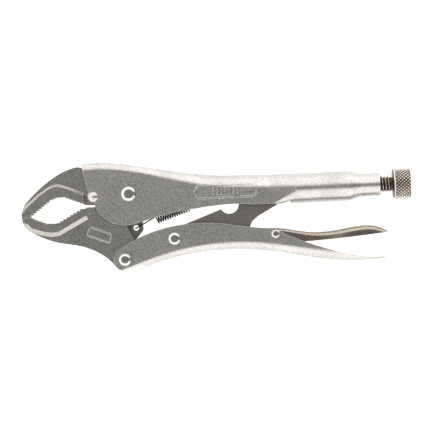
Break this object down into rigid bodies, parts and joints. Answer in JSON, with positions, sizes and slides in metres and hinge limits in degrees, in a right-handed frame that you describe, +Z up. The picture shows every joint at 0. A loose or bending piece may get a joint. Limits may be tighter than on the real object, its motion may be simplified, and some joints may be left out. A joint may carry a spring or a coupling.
{
  "type": "locking pliers",
  "caption": "Curved-jaw locking pliers in their locked position: channel handles, toothed jaws, toggle link, release lever, opening spring and knurled adjusting screw.",
  "frame": {"origin": "under the middle of the tool's box, on the surface that it lies on", "axes": "+X along the adjusting screw towards its knob, +Y from the lower handle to the upper handle, +Z up through the thickness as the tool lies flat"},
  "size_m": [0.251, 0.0706, 0.0207],
  "materials": {
    "handle_steel": "satin nickel plate with a fine grain",
    "jaw_steel": "satin nickel plate over forged steel",
    "link_steel": "dull plated steel",
    "lever_steel": "polished plated steel",
    "rivet_steel": "bright plated rivets",
    "screw_steel": "rolled thread, plated",
    "knob_steel": "knurled and plated",
    "spring_wire": "drawn wire, oiled"
  },
  "bodies": {
    "upper": {"upper_handle": "handle_steel", "fixed_jaw": "jaw_steel", "jaw_rivet": "rivet_steel", "jaw_spring": "spring_wire"},
    "jaw": {"movable_jaw": "jaw_steel", "handle_rivet": "rivet_steel"},
    "lower": {"lower_handle": "handle_steel", "link_rivet": "rivet_steel", "lever_rivet": "rivet_steel"},
    "link": {"toggle_link": "link_steel"},
    "lever": {"release_lever": "lever_steel"},
    "screw": {"adjusting_screw": "screw_steel"},
    "knob": {"adjusting_knob": "knob_steel"}
  },
  "joints": [
    {"name": "jaw_hinge", "type": "hinge", "parent": "upper", "child": "jaw", "pos_m": [-0.05605, 0.01425, 0.01035], "axis": [0, 0, 1], "range_deg": [0, 16], "deforming": ["jaw_spring"]},
    {"name": "handle_hinge", "type": "hinge", "parent": "jaw", "child": "lower", "pos_m": [-0.06025, -0.02785, 0.01035], "axis": [0, 0, 1], "range_deg": [-57, 0]},
    {"name": "link_hinge", "type": "hinge", "parent": "lower", "child": "link", "pos_m": [-0.02785, -0.01585, 0.01035], "axis": [0, 0, 1], "range_deg": [0, 62.44]},
    {"name": "lever_hinge", "type": "hinge", "parent": "lower", "child": "lever", "pos_m": [0.03715, -0.01565, 0.01035], "axis": [0, 0, 1], "range_deg": [-7, 0]},
    {"name": "screw_advance", "type": "slide", "parent": "upper", "child": "screw", "axis": [1, 0, 0], "range_m": [0, 0.016]},
    {"name": "knob_turn", "type": "hinge", "parent": "screw", "child": "knob", "pos_m": [0.11995, 0.01285, 0.01035], "axis": [1, 0, 0], "range_deg": [0, 2881]}
  ],
  "couplings": [
    {"joint": "handle_hinge", "follows": "jaw_hinge", "ratio": -3.5},
    {"joint": "link_hinge", "follows": "jaw_hinge", "ratio": 3.84},
    {"joint": "knob_turn", "follows": "screw_advance", "rad_per_m": 3141.6}
  ]
}
